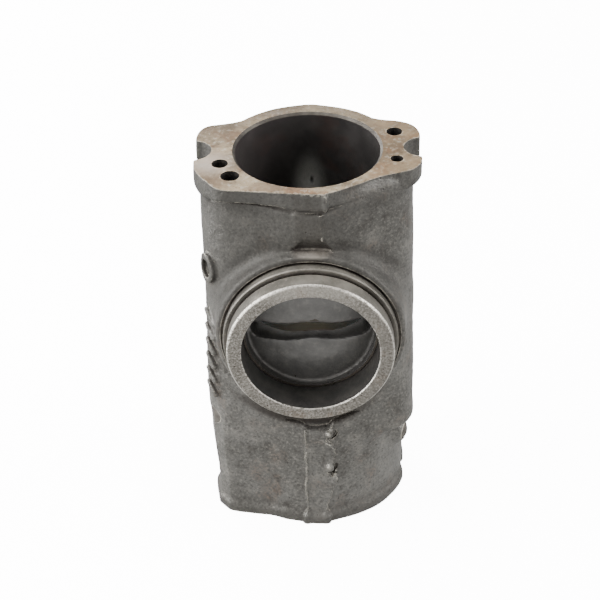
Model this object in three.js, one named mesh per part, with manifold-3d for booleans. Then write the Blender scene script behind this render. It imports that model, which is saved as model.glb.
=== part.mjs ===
import * as THREE from 'three';
import { mergeVertices } from 'three/addons/utils/BufferGeometryUtils.js';
import Module from 'manifold-3d';

// Bare cylinder body of a hand-held pneumatic rock drill, standing on its lower end.
// Millimetres, +Z up. +X is the right side and -Y the front, where the exhaust stub points.
// Every piece is first built about the bore axis, with the base at z = 0.

const wasm = await Module();
wasm.setup();

// Main sizes
const HEIGHT = 204;
const BORE_R = 35;
const BORE_CHAMFER = 1.2;
const HALF_WIDTH = 54.5;
const FLANGE_BACK_Y = 43;
const FLANGE_T = 8;
const EAR_T = 12;
const BASE_LIP_H = 7;
const ROUND = 64;
const FIT_GAP = 0.3;

// Side lobes: how much they grow downwards, and where they end above the foot
const LOBE_GROWTH = 0.06;
const LEFT_LOBE_END_Z = 59;
const RIGHT_LOBE_END_Z = 48;

// Side rod notches
const ROD_X = 55;
const ROD_NOTCH_R = 9;

// Exhaust stub: a turned ring on the front boss, its axis along Y
const STUB_Z = 124.3;
const STUB_FACE_Y = -58.7;
const STUB_SEAT_Y = -42;
const STUB_R = 40.5;
const STUB_BORE_R = 33.4;
const COLLAR_R = 42.6;
const COLLAR_FRONT_Y = -48.2;
const SNAP_GROOVE_W = 1.5;
const SNAP_GROOVE_DEPTH = 1.6;
const PILOT_R = 36.5;
const PILOT_DEPTH = 3.2;
const BOSS_R = 46;
const POCKET_R = 31.8;
const POCKET_FLOOR_Y = -40.2;

// Crescent cut back below the boss
const RELIEF_R = 59.2;
const RELIEF_Y = -38;
const RELIEF_W = 44;
const RELIEF_X = 3;

// Exhaust slot through the bore wall
const SLOT_HALF_LENGTH = 29.5;
const SLOT_HALF_HEIGHT = 4.8;
const SLOT_Z = 124.1;
const SLOT_ARCH = 2;

// Trimmed flash band down the front
const BAND_X = 2;
const BAND_W = 12;
const BAND_PROUD = 1.6;

// Holes in the top face
const PASSAGES = [
  { name: 'left_side', x: -41.5, y: -12.8, r: 3.95, side: -1, plugFace: 53.4 },
  { name: 'left_front', x: -36.2, y: -24.2, r: 4.5, side: -1, plugFace: 49 },
  { name: 'right_rear', x: 42.2, y: 14.9, r: 3.9, side: 1, plugFace: 51.8 },
];
const PASSAGE_END_Z = 56;
const CROSS_Z = 60;
const CROSS_R = 3.2;
const PLUG_R = 4.4;
const PLUG_LENGTH = 4.6;
const DOWEL = { x: 42.5, y: -10.9, r: 3.05, depth: 18 };

// Front guide bush and its lock pin
const BUSH_R = 31;
const BUSH_BORE_R = 22;
const BUSH_LENGTH = 48;
const BUSH_STOP_R = 28;
const BUSH_RIB_H = 4;
const PIN_ANGLE = THREE.MathUtils.degToRad(-16);
const PIN_Z = 39;
const PIN_R = 4;
const PIN_HEAD_R = 5.2;
const PIN_HEAD_T = 2.8;
const PIN_SEAT_R = 48.4;
const PIN_TIP_R = 26;
const PIN_PAD_R = 7.4;

const FINISH = {
  forging: { color: 0x4d4843, roughness: 0.62, metalness: 0.7 },
  turned: { color: 0x8a847a, roughness: 0.42, metalness: 0.85 },
  plug: { color: 0x6a655e, roughness: 0.5, metalness: 0.8 },
  bush: { color: 0xa98a4e, roughness: 0.4, metalness: 0.85 },
  pin: { color: 0x5d5852, roughness: 0.5, metalness: 0.8 },
};

// A closed three.js geometry as a manifold solid.
function solid(geometry) {
  const bare = geometry.clone();
  bare.deleteAttribute('normal');
  bare.deleteAttribute('uv');
  const merged = mergeVertices(bare, 1e-4);
  return new wasm.Manifold(new wasm.Mesh({
    numProp: 3,
    vertProperties: new Float32Array(merged.attributes.position.array),
    triVerts: new Uint32Array(merged.index.array),
  }));
}

// A manifold solid back as a three.js geometry.
function geometryOf(body) {
  const mesh = body.getMesh();
  const geometry = new THREE.BufferGeometry();
  geometry.setAttribute('position', new THREE.BufferAttribute(mesh.vertProperties, 3));
  geometry.setIndex(new THREE.BufferAttribute(mesh.triVerts, 1));
  geometry.computeVertexNormals();
  return geometry;
}

function extruded(shape, height, steps = 1) {
  return new THREE.ExtrudeGeometry(shape, { depth: height, steps, bevelEnabled: false, curveSegments: 6 });
}

// A round bar from radius r0 to r1 out from the bore axis, on the lock pin's line.
function radial(r, r0, r1) {
  const bar = new THREE.CylinderGeometry(r, r, r1 - r0, 24);
  bar.rotateZ(-Math.PI / 2);
  bar.translate((r0 + r1) / 2, 0, 0);
  bar.rotateZ(PIN_ANGLE);
  bar.translate(0, 0, PIN_Z);
  return solid(bar);
}

// An upright round bar from z0 to z1.
function upright(x, y, r, z0, z1, segments = 24) {
  const bar = new THREE.CylinderGeometry(r, r, z1 - z0, segments);
  bar.rotateX(Math.PI / 2);
  bar.translate(x, y, (z0 + z1) / 2);
  return solid(bar);
}

// A round bar along Y from y0 to y1.
function alongY(x, z, r, y0, y1, segments = ROUND) {
  const bar = new THREE.CylinderGeometry(r, r, y1 - y0, segments);
  bar.translate(x, (y0 + y1) / 2, z);
  return solid(bar);
}

// A round bar along X from x0 to x1.
function alongX(y, z, r, x0, x1, segments = 24) {
  const bar = new THREE.CylinderGeometry(r, r, Math.abs(x1 - x0), segments);
  bar.rotateZ(Math.PI / 2);
  bar.translate((x0 + x1) / 2, y, z);
  return solid(bar);
}

// Flange outline: round over the bore, two ears on each side, a square corner at the front left.
function flangeOutline() {
  const shape = new THREE.Shape();
  shape.moveTo(-6, -41);
  shape.lineTo(-38, -37);
  shape.quadraticCurveTo(-42.5, -36, -45, -32);
  shape.lineTo(-51.5, -21.5);
  shape.quadraticCurveTo(-HALF_WIDTH, -16, -HALF_WIDTH, -9);
  shape.lineTo(-HALF_WIDTH, 12);
  shape.bezierCurveTo(-HALF_WIDTH, 20, -51, 23.5, -45, 24.8);
  shape.quadraticCurveTo(-36, 25.6, -31.5, 29);
  shape.absarc(0, 0, FLANGE_BACK_Y, Math.PI - 0.745, 0.745, true);
  shape.quadraticCurveTo(36, 27, 41, 26.2);
  shape.bezierCurveTo(49, 25.4, HALF_WIDTH, 21, HALF_WIDTH, 12);
  shape.lineTo(HALF_WIDTH, -9);
  shape.bezierCurveTo(HALF_WIDTH, -18, 49, -21.5, 42, -24);
  shape.quadraticCurveTo(33, -26.5, 26, -31.8);
  shape.lineTo(17, -37.3);
  shape.quadraticCurveTo(12, -40, 7.4, -42);
  return shape;
}

// Body outline below the flange: lobes round the passages on both sides, round at front and back.
function bodyOutline() {
  const shape = new THREE.Shape();
  shape.moveTo(-4, -41);
  shape.lineTo(-33, -34.5);
  shape.bezierCurveTo(-44, -32.5, -51.5, -24, -51.5, -13);
  shape.lineTo(-51.5, 13);
  shape.bezierCurveTo(-51.5, 20, -47, 23, -41, 24);
  shape.quadraticCurveTo(-34, 25.5, -30, 28.3);
  shape.absarc(0, 0, 41, Math.PI - 0.755, 0.755, true);
  shape.quadraticCurveTo(34, 25.5, 40, 24.5);
  shape.bezierCurveTo(46, 23.5, 50.3, 20, 50.3, 12);
  shape.lineTo(50.3, -10);
  shape.bezierCurveTo(50.3, -19, 44, -25.5, 36, -29.5);
  shape.quadraticCurveTo(22, -38, 7, -41);
  return shape;
}

// Foot outline below the lobes: a sharp corner and a flat side at the left, round on the right.
function footOutline() {
  const shape = new THREE.Shape();
  shape.moveTo(-4, -41);
  shape.lineTo(-14.8, -38.7);
  shape.lineTo(-23.2, -35.6);
  shape.lineTo(-37, -33.2);
  shape.quadraticCurveTo(-43.5, -32.2, -45.4, -31);
  shape.lineTo(-50.3, -25);
  shape.lineTo(-52.2, -13);
  shape.lineTo(-52.2, 13);
  shape.bezierCurveTo(-52, 20, -47, 23, -41, 24);
  shape.quadraticCurveTo(-34, 25.5, -30, 28.3);
  shape.absarc(0, 0, 41, Math.PI - 0.755, 0.755, true);
  shape.quadraticCurveTo(33, 25.5, 38, 24);
  shape.bezierCurveTo(44, 22.5, 47.8, 17, 47.8, 9);
  shape.lineTo(47.5, 0);
  shape.bezierCurveTo(47, -9, 41.8, -19.8, 33.6, -28);
  shape.quadraticCurveTo(24, -36, 7, -41);
  return shape;
}

// The lobed column widens downwards and ends above the foot, on the left higher up than on the right.
function forgedColumn() {
  const column = extruded(bodyOutline(), HEIGHT - 2, 15);
  const at = column.attributes.position;
  for (let i = 0; i < at.count; i += 1) {
    const side = THREE.MathUtils.smoothstep(Math.abs(at.getX(i)), 30, 46);
    const down = Math.min((HEIGHT - at.getZ(i)) / HEIGHT, 0.75);
    at.setX(i, at.getX(i) * (1 + LOBE_GROWTH * down * side));
  }
  let lobed = solid(column);
  for (const [side, end] of [[-1, LEFT_LOBE_END_Z], [1, RIGHT_LOBE_END_Z]]) {
    const below = new THREE.BoxGeometry(2 * HALF_WIDTH, 4 * HALF_WIDTH, 2 * end);
    below.translate(side * HALF_WIDTH, 0, 0);
    lobed = lobed.subtract(solid(below));
  }
  return lobed.add(solid(extruded(footOutline(), LEFT_LOBE_END_Z + 2)));
}

// The flange over the bore is thinner than its ears, which carry the load of the rods.
function flange() {
  const plate = extruded(flangeOutline(), FLANGE_T);
  plate.translate(0, 0, HEIGHT - FLANGE_T);
  const ears = extruded(flangeOutline(), EAR_T);
  ears.translate(0, 0, HEIGHT - EAR_T);
  const earZone = new THREE.BoxGeometry(4 * HALF_WIDTH, 44, 4 * EAR_T);
  earZone.translate(0, 0, HEIGHT);
  const middle = new THREE.BoxGeometry(80, 60, 8 * EAR_T);
  middle.translate(0, 0, HEIGHT);
  return solid(plate).add(solid(ears).intersect(solid(earZone)).subtract(solid(middle)));
}

// A low lip runs round the base where the forging was trimmed.
function baseLip() {
  const lip = extruded(footOutline(), BASE_LIP_H);
  lip.scale(1.02, 1.035, 1);
  return solid(lip);
}

function flashBand() {
  const band = new THREE.BoxGeometry(BAND_W, 10, HEIGHT - FLANGE_T);
  band.translate(BAND_X, -41 - BAND_PROUD + 5, (HEIGHT - FLANGE_T) / 2);
  return solid(band);
}

// The slot is a level band whose middle third is arched upwards.
function exhaustSlot() {
  const n = 16;
  const shape = new THREE.Shape();
  const flat = SLOT_HALF_LENGTH - SLOT_HALF_HEIGHT;
  const arch = (x) => SLOT_Z + SLOT_ARCH * Math.exp(-((x / 10) ** 2));
  shape.absarc(flat, SLOT_Z, SLOT_HALF_HEIGHT, -Math.PI / 2, Math.PI / 2, false);
  for (let i = 1; i < n; i += 1) {
    const x = flat - (2 * flat * i) / n;
    shape.lineTo(x, arch(x) + SLOT_HALF_HEIGHT);
  }
  shape.absarc(-flat, SLOT_Z, SLOT_HALF_HEIGHT, Math.PI / 2, Math.PI * 1.5, false);
  for (let i = 1; i < n; i += 1) {
    const x = -flat + (2 * flat * i) / n;
    shape.lineTo(x, arch(x) - SLOT_HALF_HEIGHT);
  }
  const slot = extruded(shape, 60);
  slot.rotateX(Math.PI / 2);
  return solid(slot);
}

// Bore, rib and bush seat in one turned cut.
function boreCut() {
  const profile = [
    [0, -5],
    [BUSH_R, -5],
    [BUSH_R, BUSH_LENGTH + FIT_GAP],
    [BUSH_STOP_R, BUSH_LENGTH + FIT_GAP],
    [BUSH_STOP_R, BUSH_LENGTH + BUSH_RIB_H],
    [BORE_R, BUSH_LENGTH + BUSH_RIB_H],
    [BORE_R, HEIGHT - BORE_CHAMFER],
    [BORE_R + BORE_CHAMFER, HEIGHT],
    [BORE_R + BORE_CHAMFER, HEIGHT + 5],
    [0, HEIGHT + 5],
  ].map(([r, z]) => new THREE.Vector2(r, z));
  const cut = new THREE.LatheGeometry(profile, ROUND);
  cut.rotateX(Math.PI / 2);
  return solid(cut);
}

// An air passage: down from the top face, then across into the bore, its outer end bored for a plug.
function passageCut({ x, y, r, side, plugFace }) {
  const down = upright(x, y, r, PASSAGE_END_Z, HEIGHT + 5);
  const across = alongX(y, CROSS_Z, CROSS_R, side * 20, side * 60);
  const seat = alongX(y, CROSS_Z, PLUG_R, side * (plugFace - PLUG_LENGTH - FIT_GAP), side * 60);
  return down.add(across).add(seat);
}

// The lock pin's radial hole and the seat of its head.
function pinCut() {
  const hole = radial(PIN_R + FIT_GAP, 20, 60);
  const seat = radial(PIN_HEAD_R + FIT_GAP, PIN_SEAT_R, 60);
  return hole.add(seat);
}

// The body keeps a thin lip between the seat of the stub's pilot and the pocket floor.
function stubSeatCut() {
  const seatEnd = STUB_SEAT_Y + PILOT_DEPTH + FIT_GAP;
  const outer = alongY(0, STUB_Z, PILOT_R + FIT_GAP, STUB_SEAT_Y - 5, seatEnd);
  const inner = alongY(0, STUB_Z, STUB_BORE_R - FIT_GAP, STUB_SEAT_Y, seatEnd + 1);
  const pocket = alongY(0, STUB_Z, POCKET_R, STUB_SEAT_Y - 5, POCKET_FLOOR_Y);
  const front = alongY(0, STUB_Z, BOSS_R, STUB_SEAT_Y - 20, STUB_SEAT_Y);
  return outer.subtract(inner).add(pocket).add(front);
}

// Below the boss the column's front is cut back in a crescent.
function reliefCut() {
  const disc = alongY(0, STUB_Z, RELIEF_R, STUB_FACE_Y, RELIEF_Y);
  const boss = alongY(0, STUB_Z, BOSS_R, STUB_FACE_Y - 1, RELIEF_Y + 1);
  const zone = new THREE.BoxGeometry(RELIEF_W, 60, BOSS_R);
  zone.translate(RELIEF_X, RELIEF_Y, STUB_Z - 1.25 * BOSS_R);
  return disc.subtract(boss).intersect(solid(zone));
}

function cylinderBody() {
  const boss = alongY(0, STUB_Z, BOSS_R, STUB_SEAT_Y, -15);
  const pad = radial(PIN_PAD_R, BORE_R, PIN_SEAT_R + 0.5);
  let body = forgedColumn().add(flange()).add(baseLip()).add(flashBand());
  body = body.subtract(reliefCut()).add(boss).add(pad);
  body = body.subtract(boreCut()).subtract(stubSeatCut()).subtract(exhaustSlot());
  for (const side of [-1, 1]) {
    body = body.subtract(upright(side * ROD_X, 0, ROD_NOTCH_R, -5, HEIGHT + 5, 40));
  }
  for (const passage of PASSAGES) {
    body = body.subtract(passageCut(passage));
  }
  body = body.subtract(upright(DOWEL.x, DOWEL.y, DOWEL.r, HEIGHT - DOWEL.depth, HEIGHT + 5));
  return geometryOf(body.subtract(pinCut()));
}

// Turned ring: front land, groove for a retaining ring, collar, and a pilot pressed in the boss.
function exhaustStub() {
  const grooveFront = COLLAR_FRONT_Y - SNAP_GROOVE_W;
  const edge = 1.5;
  const lip = 0.4;
  const profile = [
    [STUB_BORE_R + lip, STUB_FACE_Y],
    [STUB_R - edge, STUB_FACE_Y],
    [STUB_R, STUB_FACE_Y + edge],
    [STUB_R, grooveFront],
    [STUB_R - SNAP_GROOVE_DEPTH, grooveFront],
    [STUB_R - SNAP_GROOVE_DEPTH, COLLAR_FRONT_Y],
    [COLLAR_R, COLLAR_FRONT_Y],
    [COLLAR_R, STUB_SEAT_Y],
    [PILOT_R, STUB_SEAT_Y],
    [PILOT_R, STUB_SEAT_Y + PILOT_DEPTH],
    [STUB_BORE_R, STUB_SEAT_Y + PILOT_DEPTH],
    [STUB_BORE_R, STUB_FACE_Y + lip],
    [STUB_BORE_R + lip, STUB_FACE_Y],
  ].map(([r, y]) => new THREE.Vector2(r, y));
  const ring = new THREE.LatheGeometry(profile, ROUND);
  ring.translate(0, 0, STUB_Z);
  return geometryOf(solid(ring));
}

// Bush in the lower end of the bore, with a lead-in at both ends and a blind hole for the lock pin.
function frontGuideBush() {
  const lead = 2;
  const outer = BUSH_R - FIT_GAP;
  const profile = [
    [BUSH_BORE_R + lead, 0],
    [outer - lead / 2, 0],
    [outer, lead / 2],
    [outer, BUSH_LENGTH],
    [BUSH_BORE_R + lead, BUSH_LENGTH],
    [BUSH_BORE_R, BUSH_LENGTH - lead],
    [BUSH_BORE_R, lead],
    [BUSH_BORE_R + lead, 0],
  ].map(([r, z]) => new THREE.Vector2(r, z));
  const bush = new THREE.LatheGeometry(profile, ROUND);
  bush.rotateX(Math.PI / 2);
  return geometryOf(solid(bush).subtract(radial(PIN_R + FIT_GAP, PIN_TIP_R - FIT_GAP, 60)));
}

// Plug pressed in the outer end of a cross drilling and dressed flush with the forging.
function passagePlug({ y, side, plugFace }) {
  const chamfer = 0.6;
  const r = PLUG_R - FIT_GAP;
  const start = plugFace - PLUG_LENGTH;
  const profile = [
    [0, start],
    [r - chamfer, start],
    [r, start + chamfer],
    [r, 60],
    [0, 60],
  ].map(([radius, x]) => new THREE.Vector2(radius, x));
  const plug = new THREE.LatheGeometry(profile, 24);
  plug.rotateZ(-side * Math.PI / 2);
  plug.translate(0, y, CROSS_Z);
  return geometryOf(solid(plug).intersect(forgedColumn()));
}

// Radial pin through the wall into the bush, with a domed head in a shallow seat.
function guideBushLockPin() {
  const headEnd = PIN_SEAT_R + PIN_HEAD_T;
  const dome = new THREE.EllipseCurve(0, headEnd - 1.8, PIN_HEAD_R, 1.8, 0, Math.PI / 2);
  const profile = [
    new THREE.Vector2(0, PIN_TIP_R),
    new THREE.Vector2(PIN_R - 0.8, PIN_TIP_R),
    new THREE.Vector2(PIN_R, PIN_TIP_R + 0.8),
    new THREE.Vector2(PIN_R, PIN_SEAT_R),
    new THREE.Vector2(PIN_HEAD_R, PIN_SEAT_R),
    ...dome.getPoints(6),
  ];
  profile[profile.length - 1].x = 0;
  const pin = new THREE.LatheGeometry(profile, 24);
  pin.rotateZ(-Math.PI / 2);
  pin.rotateZ(PIN_ANGLE);
  pin.translate(0, 0, PIN_Z);
  return pin;
}

function piece(name, geometry, finish) {
  const mesh = new THREE.Mesh(geometry, new THREE.MeshStandardMaterial(FINISH[finish]));
  mesh.name = name;
  return mesh;
}

const cylinder = new THREE.Group();
cylinder.add(piece('cylinder_body', cylinderBody(), 'forging'));
cylinder.add(piece('exhaust_stub', exhaustStub(), 'turned'));
cylinder.add(piece('front_guide_bush', frontGuideBush(), 'bush'));
cylinder.add(piece('guide_bush_lock_pin', guideBushLockPin(), 'pin'));
for (const passage of PASSAGES) {
  cylinder.add(piece(`passage_plug_${passage.name}`, passagePlug(passage), 'plug'));
}

// The origin is the middle of the base of the whole object's box.
cylinder.position.y = -(STUB_FACE_Y + FLANGE_BACK_Y) / 2;

export default cylinder;
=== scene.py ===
"""Bare cylinder body of a hand-held rock drill, standing on a pale studio floor.

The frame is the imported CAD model. Shapes are worked out in millimetres about the bore axis, with the
base at z = 0, and each finished mesh is moved into the frame in metres.
"""

import math

import bmesh
import bpy
import numpy as np
import openvdb
from mathutils import Matrix, Vector, noise


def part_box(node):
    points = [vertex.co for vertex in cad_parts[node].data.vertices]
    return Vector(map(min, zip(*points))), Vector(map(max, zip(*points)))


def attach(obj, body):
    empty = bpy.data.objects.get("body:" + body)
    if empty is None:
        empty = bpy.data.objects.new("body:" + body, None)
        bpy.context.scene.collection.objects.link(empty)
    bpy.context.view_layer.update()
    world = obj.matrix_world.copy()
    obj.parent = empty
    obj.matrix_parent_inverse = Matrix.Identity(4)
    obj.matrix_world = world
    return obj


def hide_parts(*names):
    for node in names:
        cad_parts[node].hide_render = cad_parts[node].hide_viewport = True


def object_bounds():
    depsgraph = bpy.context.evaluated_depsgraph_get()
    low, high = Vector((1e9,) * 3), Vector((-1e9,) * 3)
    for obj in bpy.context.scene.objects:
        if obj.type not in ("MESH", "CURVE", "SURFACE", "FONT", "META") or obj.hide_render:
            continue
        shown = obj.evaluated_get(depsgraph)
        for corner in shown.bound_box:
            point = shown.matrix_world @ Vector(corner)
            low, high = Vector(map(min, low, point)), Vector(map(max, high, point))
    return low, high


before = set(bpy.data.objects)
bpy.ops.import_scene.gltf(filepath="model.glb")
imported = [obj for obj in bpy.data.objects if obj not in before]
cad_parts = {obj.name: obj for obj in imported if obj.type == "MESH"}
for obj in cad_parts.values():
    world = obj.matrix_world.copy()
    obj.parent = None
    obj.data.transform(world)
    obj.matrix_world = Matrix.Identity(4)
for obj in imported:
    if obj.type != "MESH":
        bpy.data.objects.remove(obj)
cad_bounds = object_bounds()

MM = 0.001
VOXEL = 0.7

# Places that come from the frame, in millimetres about the bore axis
bush_low, bush_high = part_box("front_guide_bush")
AXIS = Vector(((bush_low.x + bush_high.x) / 2, (bush_low.y + bush_high.y) / 2, 0))


def local_box(node):
    """A CAD node's box about the bore axis, in millimetres."""
    low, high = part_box(node)
    return (low - AXIS) / MM, (high - AXIS) / MM


_, body_high = local_box("cylinder_body")
stub_low, stub_high = local_box("exhaust_stub")
bush_low, bush_high = local_box("front_guide_bush")
HEIGHT = body_high.z
HALF_WIDTH = body_high.x
FLANGE_BACK_Y = body_high.y
STUB_Z = (stub_low.z + stub_high.z) / 2
STUB_FACE_Y = stub_low.y
PILOT_END_Y = stub_high.y
COLLAR_R = stub_high.x
BUSH_R = bush_high.x
BUSH_BORE_R = 22.0
BUSH_LENGTH = bush_high.z
BUSH_GROOVES_Z = (30.5, 17.5)

# Bore and flange
BORE_R = 35.0
BORE_CHAMFER = 1.2
BUSH_RIB_H = 4.0
BUSH_STOP_R = 28.0

# Side rod notches, down the whole length
ROD_X = 55.0
ROD_NOTCH_R = 9.0

# Exhaust stub and the boss that it sits on
SEAT_Y = -42.0
STUB_R = 40.5
STUB_BORE_R = 33.4
COLLAR_FRONT_Y = -48.2
PILOT_R = 36.5
BOSS_R = 46.4
BOSS_FRONT_Y = -44.4
SPOT_FACE_R = 43.9
POCKET_R = 31.8

# Exhaust slot
SLOT_HALF_LENGTH = 29.5
SLOT_HALF_HEIGHT = 4.8
SLOT_Z = 124.1

# Height of the painted reflection on the bore's back wall
REFLECTION_Z = 160.0

# Below the boss, the column is cut back to this radius
RECESS_R = 37.6

# Heights of the two burrs, each with a nick beside it, at the flash band's torn right edge
BURRS_Z = (60.8, 38.6)
BURR_X = 8.3
BURR_R = 1.9

# Chips in the top face's front edge: x, y, radius
EDGE_CHIPS = [
    (-19.5, -39.4, 0.6),
    (-3.2, -41.6, 0.9),
    (-1.0, -41.9, 0.6),
    (6.2, -42.6, 0.8),
    (10.5, -41.0, 0.7),
]

# Plain raised bars on the left lobe, and a ring above them
MARKS = 6
MARKS_TILT = 0.75
MARKS_AT = math.radians(207)
MARKS_LOW_Z = 79.0
MARKS_PITCH = 9.0
MARKS_RELIEF = 2.3
RING_Z = 153.0

# Drilled holes in the top face: x, y, radius, depth
HOLES = [
    (-41.5, -12.8, 3.95, 148),
    (-36.2, -24.2, 4.5, 148),
    (42.2, 14.9, 3.9, 148),
    (42.5, -10.9, 3.05, 18),
]
PLUGS = ["passage_plug_left_side", "passage_plug_left_front", "passage_plug_right_rear"]
PLUG_SEAT_GAP = 0.15
CROSS_DRILLING_R = 3.2

# Lock pin, its distances measured out from the bore axis, and the soft pad that it sits in
PIN_ANGLE = math.radians(-16)
PIN_R = 4.0
PIN_INNER_END = 26.0
PIN_SEAT = 48.4
PIN_TOP = 51.2
PIN_HEAD_R = 4.8
PIN_HEAD_RISE = 2.3
PIN_PAD = (41.6, -12.4, 39.0)
PIN_PAD_R = 7.4

# Gap between a fitted piece and its seat, and how far the blocks reach that cut off the top and base
FIT_GAP = 0.3
FAR = 200.0


# ---------------------------------------------------------------- outlines


class Outline:
    """A closed outline of lines, curves and arcs, as points in millimetres."""

    def __init__(self, x, y):
        self.points = [(x, y)]

    def line(self, x, y):
        self.points.append((x, y))
        return self

    def bend(self, *controls, steps=12):
        """A quadratic or cubic curve through the control points to the last one."""
        points = np.array([self.points[-1], *controls], float)
        degree = len(points) - 1
        for t in np.linspace(0, 1, steps + 1)[1:]:
            weights = [math.comb(degree, i) * t**i * (1 - t) ** (degree - i) for i in range(degree + 1)]
            self.points.append(tuple(weights @ points))
        return self

    def arc(self, radius, start, end, steps=40):
        """An arc about the bore axis."""
        for angle in np.linspace(start, end, steps + 1):
            self.points.append((radius * math.cos(angle), radius * math.sin(angle)))
        return self

    def array(self):
        return np.array(self.points, float)


def flange_outline():
    """Round over the bore, two ears on each side, a square corner at the front left."""
    w = HALF_WIDTH
    o = Outline(-6, -41).line(-38, -37).bend((-42.5, -36), (-45, -32)).line(-51.5, -21.5)
    left = -w + 0.4
    o.bend((left, -16), (left, -9)).line(left, 11).bend((left, 18), (-51.5, 23.2), (-46.2, 24.4))
    o.bend((-36, 25.6), (-31.5, 29)).arc(FLANGE_BACK_Y, math.pi - 0.745, 0.745)
    o.bend((36, 27), (41, 26.2)).bend((47.5, 25.4), (w, 20.5), (w, 11)).line(w, -9)
    o.bend((w, -18), (49, -21.5), (42, -24)).bend((33, -26.5), (26, -31.8))
    return o.line(17, -37.3).bend((12, -40), (7.4, -42)).array()


def body_outline():
    """Below the flange: lobes round the passages on both sides, round at front and back."""
    o = Outline(-4, -41).line(-33, -34.5).bend((-44, -32.5), (-51.5, -24), (-51.5, -13))
    o.line(-51.5, 13).bend((-51.5, 20), (-47, 23), (-41, 24)).bend((-34, 25.5), (-30, 28.3))
    o.arc(41, math.pi - 0.755, 0.755).bend((34, 25.5), (40, 24.5))
    o.bend((46, 23.5), (50.3, 20), (50.3, 12)).line(50.3, -10)
    o.bend((50.3, -19), (44, -25.5), (36, -29.5))
    return o.bend((22, -38), (7, -41)).array()


def foot_outline():
    """Below the lobes: a sharp corner with a flat side at the front left, round on the right."""
    o = Outline(-4, -41).line(-14.8, -38.7).line(-23.2, -35.6).line(-37, -33.2)
    o.bend((-43.5, -32.2), (-45.4, -31)).line(-50.3, -25).line(-52.2, -13)
    o.line(-52.2, 13).bend((-52, 20), (-47, 23), (-41, 24)).bend((-34, 25.5), (-30, 28.3))
    o.arc(41, math.pi - 0.755, 0.755).bend((33, 25.5), (38, 24))
    o.bend((44, 22.5), (47.8, 17), (47.8, 9)).line(47.5, 0)
    return o.bend((47, -9), (41.8, -19.8), (33.6, -28)).bend((24, -36), (7, -41)).array()


def outline_distance(points, x, y):
    """Signed distance to a closed outline over a grid, negative inside."""
    best = np.full(x.shape, 1e9)
    inside = np.zeros(x.shape, bool)
    for (ax, ay), (bx, by) in zip(points, np.roll(points, -1, axis=0)):
        dx, dy = bx - ax, by - ay
        length2 = dx * dx + dy * dy
        if length2 < 1e-12:
            continue
        t = np.clip(((x - ax) * dx + (y - ay) * dy) / length2, 0, 1)
        best = np.minimum(best, (x - ax - t * dx) ** 2 + (y - ay - t * dy) ** 2)
        crosses = (ay > y) != (by > y)
        slope = dy if abs(dy) > 1e-12 else 1e-12
        inside ^= crosses & (x < ax + (y - ay) * dx / slope)
    return np.where(inside, -1, 1) * np.sqrt(best)


# ---------------------------------------------------------------- the forging as a distance field


def step(value, low, high):
    """0 at low and 1 at high, smooth between."""
    t = np.clip((value - low) / (high - low), 0, 1)
    return t * t * (3 - 2 * t)


def join(a, b, k):
    """Union with a fillet of size k."""
    h = np.clip(0.5 + 0.5 * (b - a) / k, 0, 1)
    return b + (a - b) * h - k * h * (1 - h)


def cross(a, b, k):
    """Intersection with an edge rounded by k."""
    return -join(-a, -b, k)


def bump(value, centre, width):
    """1 at the centre, falling off to 0 over the width."""
    return np.exp(-(((value - centre) / width) ** 2))


class Grid:
    """Sample points of the block that the forging is made from."""

    def __init__(self):
        pad = 4 * VOXEL
        self.low = np.array([-HALF_WIDTH - pad, -50.0, -pad - 2])
        high = np.array([HALF_WIDTH + pad, FLANGE_BACK_Y + 2 + pad, HEIGHT + pad + 2])
        counts = np.ceil((high - self.low) / VOXEL).astype(int) + 1
        axes = [low + VOXEL * np.arange(n) for low, n in zip(self.low, counts)]
        self.x = axes[0].astype(np.float32)[:, None, None]
        self.y = axes[1].astype(np.float32)[None, :, None]
        self.z = axes[2].astype(np.float32)[None, None, :]
        self.flat_x, self.flat_y = np.meshgrid(axes[0], axes[1], indexing="ij")


def stretched_rows(flat, x, scale):
    """A flat field widened in X by a scale that may vary along X."""
    at = np.clip((x / scale - x[0]) / VOXEL, 0, len(x) - 1.001)
    i = at.astype(int)
    f = (at - i)[:, None]
    return flat[i] * (1 - f) + flat[i + 1] * f


def column(g):
    """The upright body. Its lobes grow downwards and end above a plainer foot."""
    body = outline_distance(body_outline(), g.flat_x, g.flat_y)
    foot = outline_distance(foot_outline(), g.flat_x, g.flat_y)
    x = g.x[:, 0, 0]
    field = np.empty((len(x), g.flat_y.shape[1], g.z.size), np.float32)
    side = step(np.abs(x), 30, 46)
    left_side = step(-x, 30, 46)
    right = step(x, -10, 10)
    for k, z in enumerate(g.z[0, 0]):
        grown = 0.06 * min((HEIGHT - z) / HEIGHT, 0.75)
        lobed = stretched_rows(body, x, 1 + grown * side + 0.018 * left_side * (1 - step(z, 85, 125)))
        left_lobe, right_lobe = step(z, 52, 66), step(z, 45, 51)
        share = (left_lobe + (right_lobe - left_lobe) * right)[:, None]
        plain = stretched_rows(foot, x, 1 + 0.03 * left_side * step(z, 20, 44))
        field[:, :, k] = plain + (lobed - plain) * share
    return cross(field, g.z - HEIGHT - 0.5, 10.0)


def flange_depth(g):
    """How far the flange's edge is below the top face: more in the middle, at the ears and at the back."""
    return 6.7 + 3.9 * bump(g.x, 0, 16.5) + 2.2 * step(np.abs(g.x), 38, 47) + 3 * step(g.y, -10, 20)


def flange(g):
    """The end flange, with a small hump at the middle of its back."""
    flat = outline_distance(flange_outline(), g.flat_x, g.flat_y).astype(np.float32)[:, :, None]
    flat = flat - 0.8 * bump(g.x, 1.6, 6) * step(g.y, 20, 30)
    return cross(flat, (HEIGHT - flange_depth(g)) - g.z, 0.8)


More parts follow.
